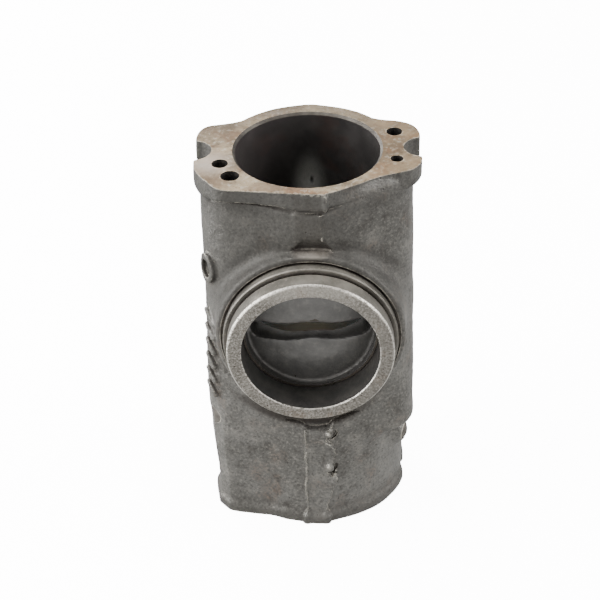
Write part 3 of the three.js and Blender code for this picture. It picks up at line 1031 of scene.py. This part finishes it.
def bore_material():
    """Honed bore under old black oil, with a painted reflection on the back wall and painted light low down,
    where it is seen through the slot.
    """
    s = Shader("oiled_bore")
    x, y, z = s.split()
    marks = s.noise(60, 4, 0.55)
    s.colour = s.mix(s.ramp(marks, 0.35, 0.7), (0.038, 0.035, 0.034), (0.056, 0.051, 0.049))
    rust = s.ramp(s.noise(45, 4, 0.6), 0.52, 0.68, 0, 0.35)
    s.coat(rust, (0.075, 0.042, 0.033))
    # Painted reflection on the back wall
    painted_reflection = s.times(s.spot((x, 0.0, 0.011), (z, REFLECTION_Z * MM, 0.026)), s.ramp(y, 0.0, 0.02))
    s.coat(s.times(painted_reflection, 0.9), (0.34, 0.335, 0.31))
    s.coat(s.ramp(x, -0.006, -0.030, 0, 0.35), (0.110, 0.092, 0.090))
    port = s.times(s.spot((x, 0.0012, 0.0014), (z, 0.1655, 0.0035)), s.ramp(y, 0.0, 0.02))
    s.coat(port, (0.02, 0.018, 0.016))
    # Painted light on the lower bore, seen through the slot
    s.coat(s.ramp(z, 0.118, 0.085), (0.36, 0.395, 0.395))
    rough = s.ramp(marks, 0.3, 0.7, 0.34, 0.48)
    s.bump((s.noise(500, 3), 0.0001, 0.2))
    return s.surface(rough, 0.5)


def drilled_material():
    """Insides of the drilled holes, nearly black."""
    s = Shader("drilled_holes")
    marks = s.noise(900, 3, 0.6)
    s.colour = s.mix(s.ramp(marks, 0.4, 0.7), (0.010, 0.009, 0.008), (0.04, 0.034, 0.028))
    return s.surface(0.6, 0.3)


def seat_material():
    """Spot face and pilot seat: turned, dull and brown with age."""
    s = Shader("spot_face")
    broad = s.noise(120, 5, 0.6)
    speck = s.noise(900, 3, 0.65)
    s.colour = s.mix(s.ramp(broad, 0.35, 0.68), (0.060, 0.052, 0.044), (0.125, 0.108, 0.088))
    s.coat(s.ramp(speck, 0.55, 0.7, 0, 0.6), (0.2, 0.175, 0.145))
    _, _, z = s.split()
    # Soot and painted shadow low on the spot face, under the stub
    s.coat(s.ramp(z, (STUB_Z - 22) * MM, (STUB_Z - 36) * MM, 0, 0.85), SOOT_AND_SHADOW)
    s.bump((speck, 0.0002, 0.3))
    return s.surface(0.5, 0.6)


def pocket_material():
    """As-forged bowl behind the stub, greyed by exhaust, with painted shade in its corners."""
    s = Shader("exhaust_pocket")
    broad = s.noise(45, 5, 0.6)
    mottle = s.noise(300, 5, 0.65)
    s.colour = s.mix(s.ramp(broad, 0.32, 0.7), (0.104, 0.102, 0.098), (0.165, 0.161, 0.154))
    s.coat(s.ramp(mottle, 0.5, 0.72, 0, 0.5), (0.21, 0.20, 0.185))
    # Painted shade in the bowl's corners
    s.coat(s.corner_shade(0.007, 0.25, 0.8), (0.070, 0.065, 0.059))
    s.bump((mottle, 0.0004, 0.3))
    return s.surface(0.46, 0.6)


def turned_face_material():
    """Front of the stub: worn turned steel, light beige grey, with dark pits, painted highlights on its rims,
    painted shade towards the right and painted light at the top.
    """
    s = Shader("turned_face")
    broad = s.noise(55, 5, 0.6)
    speck = s.noise(980, 4, 0.72)
    s.colour = s.mix(s.ramp(broad, 0.34, 0.68), (0.145, 0.135, 0.118), (0.235, 0.221, 0.196))
    s.coat(s.ramp(s.noise(110, 4, 0.6), 0.56, 0.70, 0, 0.4), (0.155, 0.105, 0.070))
    s.coat(s.ramp(speck, 0.50, 0.62, 0, 0.7), (0.40, 0.38, 0.34))
    s.coat(s.ramp(speck, 0.48, 0.36, 0, 0.8), (0.082, 0.072, 0.060))
    pits = s.math("SUBTRACT", 1.0, s.ramp(s.cells(430), 0.05, 0.28))
    pits = s.times(pits, s.ramp(s.noise(150, 3), 0.48, 0.60))
    s.coat(s.times(pits, 0.9), (0.050, 0.036, 0.026))
    x, _, z = s.split()
    # Painted shade towards the right
    s.coat(s.ramp(x, 0.010, 0.038, 0, 0.32), (0.100, 0.092, 0.080))
    # Painted light at the top
    s.coat(s.ramp(z, (STUB_Z + 28) * MM, (STUB_Z + 38) * MM, 0, 0.4), (0.40, 0.375, 0.33))
    # Painted highlights on the outer and inner rims
    out = s.from_stub()
    rim_highlights = s.math("ADD", s.ramp(out, 0.0396, 0.0400, 0, 0.8), s.ramp(out, 0.0340, 0.0337), clamp=True)
    s.coat(s.times(rim_highlights, s.ramp(speck, 0.36, 0.54)), (0.66, 0.63, 0.57))
    rough = s.ramp(broad, 0.3, 0.7, 0.34, 0.5)
    s.bump((speck, 0.0002, 0.35), (pits, -0.0004, 0.5))
    return s.surface(rough, 0.75)


def collar_material():
    """Land and collar of the stub: turned and dull with age, with painted shade at the sides and in the groove.
    """
    s = Shader("turned_collar")
    lathe = s.noise(2600, 2, 0.5, place=s.stretched((0.02, 1, 0.02)))
    broad = s.noise(75, 5, 0.6)
    speck = s.noise(800, 4, 0.68)
    s.colour = s.mix(s.ramp(broad, 0.34, 0.68), (0.155, 0.146, 0.127), (0.285, 0.266, 0.231))
    s.coat(s.ramp(speck, 0.54, 0.7, 0, 0.6), (0.40, 0.36, 0.30))
    x, _, _ = s.split()
    # Painted shade at the sides
    sides = s.ramp(s.math("ABSOLUTE", x), 0.014, 0.036, 0, 0.55)
    s.coat(sides, (0.050, 0.047, 0.042))
    # Painted shade in the groove and corners
    s.coat(s.corner_shade(0.003, 0.3, 0.8), (0.035, 0.027, 0.020))
    edge = s.times(s.worn_edge(0.0006, 0.03, 0.2), s.ramp(speck, 0.35, 0.55))
    s.coat(s.times(edge, 0.8), (0.36, 0.33, 0.28))
    s.bump((lathe, 0.0001, 0.35), (speck, 0.0002, 0.25))
    return s.surface(0.48, 0.65)


def stub_bore_material():
    """Inside of the stub, dark."""
    s = Shader("dark_stub_bore")
    broad = s.noise(90, 4, 0.6)
    s.colour = s.mix(s.ramp(broad, 0.35, 0.7), (0.050, 0.048, 0.046), (0.084, 0.079, 0.073))
    s.bump((s.noise(900, 3), 0.0002, 0.25))
    return s.surface(0.42, 0.5)


def bronze_material():
    """Guide bush: turned bronze, stained with oil."""
    s = Shader("bush_bronze")
    broad = s.noise(70, 5, 0.6)
    lathe = s.noise(2400, 2, 0.5, place=s.stretched((0.02, 0.02, 1)))
    s.colour = s.mix(s.ramp(broad, 0.3, 0.7), (0.26, 0.165, 0.07), (0.43, 0.29, 0.135))
    s.coat(s.ramp(s.noise(400, 4), 0.56, 0.72, 0, 0.7), (0.11, 0.075, 0.04))
    s.bump((lathe, 0.0001, 0.3))
    return s.surface(0.34, 0.9)


def plug_material():
    """Plugs and lock pin: dull steel."""
    s = Shader("plug_steel")
    broad = s.noise(300, 5, 0.6)
    s.colour = s.mix(s.ramp(broad, 0.35, 0.7), (0.085, 0.076, 0.066), (0.18, 0.165, 0.145))
    edge = s.worn_edge(0.0004, 0.03, 0.2)
    s.coat(s.times(edge, 0.6), (0.4, 0.37, 0.32))
    s.bump((s.noise(1200, 3), 0.0002, 0.3))
    return s.surface(0.44, 0.7)


# ---------------------------------------------------------------- build


def paint_body(body):
    """Gives each face of the body the finish of the cut that made it."""
    mesh = body.data
    finishes = [
        forging_material(),
        flange_face_material(),
        bore_material(),
        drilled_material(),
        seat_material(),
        pocket_material(),
        chamfer_material(),
    ]
    mesh.materials.clear()
    for finish in finishes:
        mesh.materials.append(finish)
    forged, face, bore, drilled, seat, pocket_finish, chamfer = range(7)
    x, y, z = ((vectors(mesh.polygons, "center") - np.array(AXIS)) / MM).T
    normal = vectors(mesh.polygons, "normal")
    index = np.full(len(x), forged, np.int32)
    radius = np.hypot(x, y)
    stub_radius = np.hypot(x, z - STUB_Z)
    in_bowl = (stub_radius < POCKET_R + 1.2) & (y < -20) & (y > SEAT_Y - 0.5)
    index[in_bowl & (radius > BORE_R + 0.05)] = pocket_finish
    index[(slot_outline(x, z) < 0.35) & (y < -10) & (stub_radius < POCKET_R)] = pocket_finish
    pilot_end = (np.abs(y - PILOT_END_Y - FIT_GAP) < 0.02) & (stub_radius < PILOT_R + 1)
    flat = (np.abs(y - SEAT_Y) < 0.02) | pilot_end
    index[flat & (np.abs(normal[:, 1]) > 0.99) & (stub_radius < SPOT_FACE_R + 0.2)] = seat
    index[(np.abs(stub_radius - SPOT_FACE_R) < 0.05) & (y < SEAT_Y) & (np.abs(normal[:, 1]) < 0.1)] = seat
    index[(z > HEIGHT - 0.01) & (normal[:, 2] > 0.99)] = face
    index[(z < 0.01) & (normal[:, 2] < -0.99)] = face
    inward = normal[:, 0] * x + normal[:, 1] * y < -0.5 * radius
    index[(radius < BORE_R + 0.05) & (z > 0.01) & (z < HEIGHT - BORE_CHAMFER)] = bore
    index[(radius < BORE_R + BORE_CHAMFER + 0.1) & (z > HEIGHT - BORE_CHAMFER - 0.05) & inward] = chamfer
    for hx, hy, r, depth in HOLES:
        near = np.hypot(x - hx, y - hy) < r + 0.05
        index[near & (z > HEIGHT - depth - 1) & (radius > BORE_R) & (normal[:, 2] < 0.99)] = drilled
    mesh.polygons.foreach_set("material_index", index)
    mesh.update()


def build_body():
    """The forging, machined and painted. Returns the plugs' meshes, which are cut from the rough forging."""
    grid = Grid()
    mesh = mesh_from_field("cylinder_body", grid, forging_field(grid))
    roughen(mesh)
    plugs = {node: plug_mesh(node, mesh) for node in PLUGS}
    body = placed("forging", mesh)
    machine(body)
    mesh = body.data
    bpy.data.objects.remove(body)
    ob = piece("body", mesh, "cylinder_body")
    paint_body(ob)
    return plugs


def build_stub():
    """The exhaust stub, with its face, its outside and its bore in their own finishes."""
    mesh = turned("stub", stub_profile(), segments=256)
    mesh.transform(Matrix.Translation((0, 0, STUB_Z)) @ Matrix.Rotation(-math.pi / 2, 4, "X"))
    ob = piece("stub", mesh, "exhaust_stub")
    for finish in (turned_face_material(), collar_material(), stub_bore_material()):
        ob.data.materials.append(finish)
    for polygon in ob.data.polygons:
        at = (polygon.center - AXIS) / MM
        r = math.hypot(at.x, at.z - STUB_Z)
        if r < STUB_BORE_R + 0.05:
            polygon.material_index = 2
        elif at.y > STUB_FACE_Y + 2.2:
            polygon.material_index = 1


def build_small_pieces(plugs):
    bush = piece("bush", turned("bush", bush_profile(), segments=192), "front_guide_bush")
    bush.data.materials.append(bronze_material())
    steel = plug_material()
    pin = piece("lock_pin", pin_mesh(), "guide_bush_lock_pin")
    pin.data.materials.append(steel)
    for node, mesh in plugs.items():
        plug = piece(node.replace("passage_", ""), mesh, node)
        plug.data.materials.append(steel)


plugs = build_body()
build_stub()
build_small_pieces(plugs)


# ---------------------------------------------------------------- studio

STUDIO_SIZE = 12.0
FLOOR_GAP = 0.0002
PAPER_GLOW = 12.0
LIGHT_ABOVE = 0.62
LIGHT_BELOW = 1.0
# name, place, size and power
SOFTBOXES = [
    ("left_box", (-0.95, -0.25, 0.75), 0.7, 19),
    ("right_box", (0.95, -0.08, 0.55), 0.6, 12),
    ("low_left_box", (-0.90, -0.10, 0.18), 0.5, 10),
    ("top_box", (0.0, 0.10, 1.25), 0.7, 8),
    ("back_left_box", (-0.62, 0.88, 0.62), 0.35, 13),
    ("table_bounce", (0.0, -0.45, 0.01), 0.35, 0.35),
]
LIT_POINT = Vector((0, 0, 0.05))

# The camera, placed from the middle of the bore's mouth
CAMERA_PLACE = Vector((0.0122, -0.6659, 0.3873))
CAMERA_LENS = 96.0
CAMERA_DOWN = math.radians(35.58)
CAMERA_YAW = math.radians(-1.55)
CAMERA_ROLL = math.radians(-1.79)


def staged(name, mesh, material):
    """Part of the studio: seen by the camera, but neither lighting nor shading the object."""
    ob = placed(name, mesh)
    mesh.materials.append(material)
    ob.visible_diffuse = False
    ob.visible_glossy = False
    ob.visible_shadow = False
    return ob


def paper_material():
    """White paper that glows, so that it stays white in the picture."""
    s = Shader("white_paper")
    s.colour = (0.9, 0.9, 0.9)
    s.surface(0.9, 0.0)
    s.bsdf.inputs["Emission Color"].default_value = (1, 1, 1, 1)
    s.bsdf.inputs["Emission Strength"].default_value = PAPER_GLOW
    return s.material


def floor_and_backdrop():
    """A white floor just under the object, inside a white sphere."""
    paper = paper_material()
    for name, z in (("floor", 0.0), ("backdrop", -0.01)):
        bm = bmesh.new()
        if name == "floor":
            bmesh.ops.create_grid(bm, x_segments=1, y_segments=1, size=STUDIO_SIZE)
        else:
            bmesh.ops.create_icosphere(bm, subdivisions=4, radius=STUDIO_SIZE * 0.9)
        staged(name, mesh_from(name, bm), paper).location.z = cad_bounds[0][2] - FLOOR_GAP + z


def world_light():
    """Soft light from all round, stronger from below, as white paper throws it back."""
    world = bpy.data.worlds.new("studio")
    bpy.context.scene.world = world
    world.use_nodes = True
    tree = world.node_tree
    back = tree.nodes["Background"]
    direction = tree.nodes.new("ShaderNodeTexCoord")
    split = tree.nodes.new("ShaderNodeSeparateXYZ")
    ramp = tree.nodes.new("ShaderNodeMapRange")
    tree.links.new(direction.outputs["Generated"], split.inputs[0])
    tree.links.new(split.outputs["Z"], ramp.inputs["Value"])
    limits = {"From Min": -1.0, "From Max": 1.0, "To Min": LIGHT_BELOW, "To Max": LIGHT_ABOVE}
    for key, value in limits.items():
        ramp.inputs[key].default_value = value
    tree.links.new(ramp.outputs["Result"], back.inputs["Strength"])
    back.inputs["Color"].default_value = (1.0, 0.995, 0.98, 1)


def softboxes():
    """Square lamps aimed at the object, which the camera doesn't see."""
    for name, place, size, power in SOFTBOXES:
        lamp = bpy.data.lights.new(name, "AREA")
        lamp.energy = power
        lamp.size = size
        light = placed(name, lamp)
        light.location = place
        light.visible_camera = False
        aim = LIT_POINT - Vector(place)
        light.rotation_euler = aim.to_track_quat("-Z", "Y").to_euler()


def camera():
    """At the photograph's viewing angle and distance."""
    data = bpy.data.cameras.new("camera")
    data.lens = CAMERA_LENS
    data.sensor_width = 36.0
    ob = placed("camera", data)
    bore_mouth = AXIS + Vector((0, 0, HEIGHT * MM))
    ob.location = bore_mouth + CAMERA_PLACE
    level, ahead = math.cos(CAMERA_DOWN), math.cos(CAMERA_YAW)
    look = Vector((math.sin(CAMERA_YAW) * level, ahead * level, -math.sin(CAMERA_DOWN)))
    right = Vector((ahead, -math.sin(CAMERA_YAW), 0))
    up = right.cross(look)
    upright = Matrix((right, up, -look)).transposed()
    ob.rotation_euler = (upright @ Matrix.Rotation(CAMERA_ROLL, 3, "Z")).to_euler()
    bpy.context.scene.camera = ob


floor_and_backdrop()
world_light()
softboxes()
camera()
